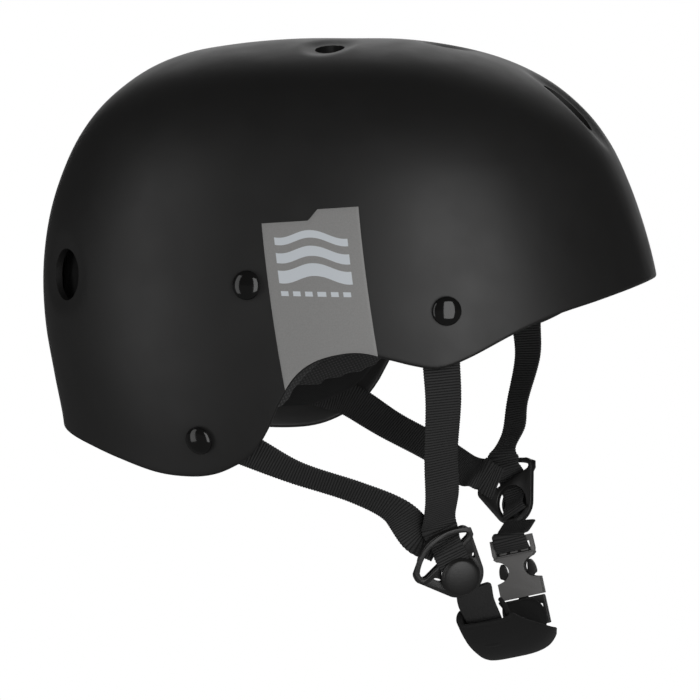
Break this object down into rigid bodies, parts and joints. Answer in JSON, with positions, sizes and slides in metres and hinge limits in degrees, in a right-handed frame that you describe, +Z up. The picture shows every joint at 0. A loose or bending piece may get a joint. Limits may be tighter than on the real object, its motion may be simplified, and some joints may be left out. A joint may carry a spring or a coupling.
{
  "type": "water sports helmet",
  "caption": "Half-cut water sports helmet: matte hard shell with vents and ear cut-outs, foam liner, fit pads, Y-shaped side webbing, strap dividers, side-release buckle and chin pad.",
  "frame": {"origin": "middle of the crown pad's flat underside, where the wearer's head meets the helmet", "axes": "+X towards the brow, +Y towards the wearer's left ear, +Z up through the crown"},
  "size_m": [0.2663, 0.2122, 0.2718],
  "materials": {
    "matte_black_abs": "satin",
    "eva_foam": "matte",
    "pad_fabric": "matte",
    "webbing": "matte",
    "gloss_black_rivet": "gloss",
    "buckle_nylon": "satin",
    "decal_grey": "satin",
    "neoprene": "matte"
  },
  "bodies": {
    "helmet": {"outer_shell": "matte_black_abs", "foam_liner": "eva_foam", "crown_pad": "pad_fabric", "brow_pad": "pad_fabric", "nape_pad": "pad_fabric", "buckle_socket": "buckle_nylon", "left_lower_strap": "webbing", "temple_pad_right": "pad_fabric", "side_pad_right": "pad_fabric", "side_decal_right": "decal_grey", "strap_divider_right": "buckle_nylon", "front_strap_right": "webbing", "rear_strap_right": "webbing", "rivet_front_right": "gloss_black_rivet", "washer_front_right": "buckle_nylon", "rivet_middle_right": "gloss_black_rivet", "washer_middle_right": "buckle_nylon", "rivet_rear_right": "gloss_black_rivet", "washer_rear_right": "buckle_nylon", "temple_pad_left": "pad_fabric", "side_pad_left": "pad_fabric", "side_decal_left": "decal_grey", "strap_divider_left": "buckle_nylon", "front_strap_left": "webbing", "rear_strap_left": "webbing", "rivet_front_left": "gloss_black_rivet", "washer_front_left": "buckle_nylon", "rivet_middle_left": "gloss_black_rivet", "washer_middle_left": "buckle_nylon", "rivet_rear_left": "gloss_black_rivet", "washer_rear_left": "buckle_nylon"},
    "chin_strap_set": {"chin_strap": "webbing", "chin_pad": "neoprene", "buckle_plug": "buckle_nylon"},
    "plug_prong_front": {"plug_prong_front": "buckle_nylon"},
    "plug_prong_rear": {"plug_prong_rear": "buckle_nylon"},
    "right_divider_lock": {"divider_lock_right": "buckle_nylon"},
    "left_divider_lock": {"divider_lock_left": "buckle_nylon"}
  },
  "joints": [
    {"name": "chin_strap_swing", "type": "hinge", "parent": "helmet", "child": "chin_strap_set", "pos_m": [0.0671, -0.05346, -0.20463], "axis": [-0.9697, -0.0318, -0.2424], "range_deg": [0, 105]},
    {"name": "prong_front_pinch", "type": "hinge", "parent": "chin_strap_set", "child": "plug_prong_front", "pos_m": [0.07387, 0.0433, -0.22254], "axis": [0.001, -0.992, 0.126], "range_deg": [0, 7], "stiffness_Nm_per_rad": 0.5},
    {"name": "prong_rear_pinch", "type": "hinge", "parent": "chin_strap_set", "child": "plug_prong_rear", "pos_m": [0.0636, 0.04297, -0.22512], "axis": [-0.001, 0.992, -0.126], "range_deg": [0, 7], "stiffness_Nm_per_rad": 0.5},
    {"name": "right_lock_flip", "type": "hinge", "parent": "helmet", "child": "right_divider_lock", "pos_m": [0.05888, -0.06813, -0.19189], "axis": [-0.6823, -0.1547, -0.7145], "range_deg": [0, 75]},
    {"name": "left_lock_flip", "type": "hinge", "parent": "helmet", "child": "left_divider_lock", "pos_m": [0.05764, 0.06796, -0.17892], "axis": [0.8071, -0.1715, 0.565], "range_deg": [0, 75]}
  ]
}
